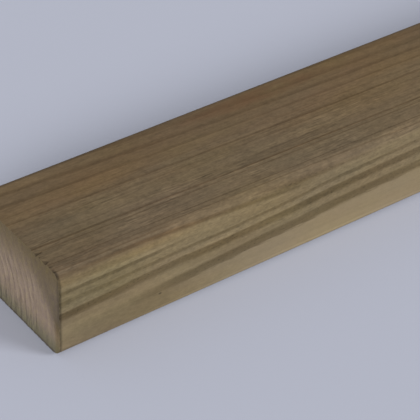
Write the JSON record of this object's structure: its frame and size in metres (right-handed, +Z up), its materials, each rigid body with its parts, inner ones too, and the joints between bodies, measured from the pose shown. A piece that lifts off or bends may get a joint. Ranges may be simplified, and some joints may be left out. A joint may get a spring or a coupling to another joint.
{
  "type": "timber lumber plank",
  "caption": "Straight length of planed, pressure-treated softwood with rounded long arrises and square sawn ends, lying on its wide face.",
  "frame": {"origin": "on the underside, at the middle of the plank's length and width", "axes": "+X along the grain, from the sawn end that the picture shows towards the other end; +Y across the wide face, away from the narrow face that the picture shows; +Z up, out of the upper wide face"},
  "size_m": [1.8, 0.07, 0.045],
  "materials": {
    "wood": "planed softwood, pressure treated to a dull olive brown, matt and unsealed"
  },
  "bodies": {
    "root": {"plank": "wood"}
  },
  "joints": []
}
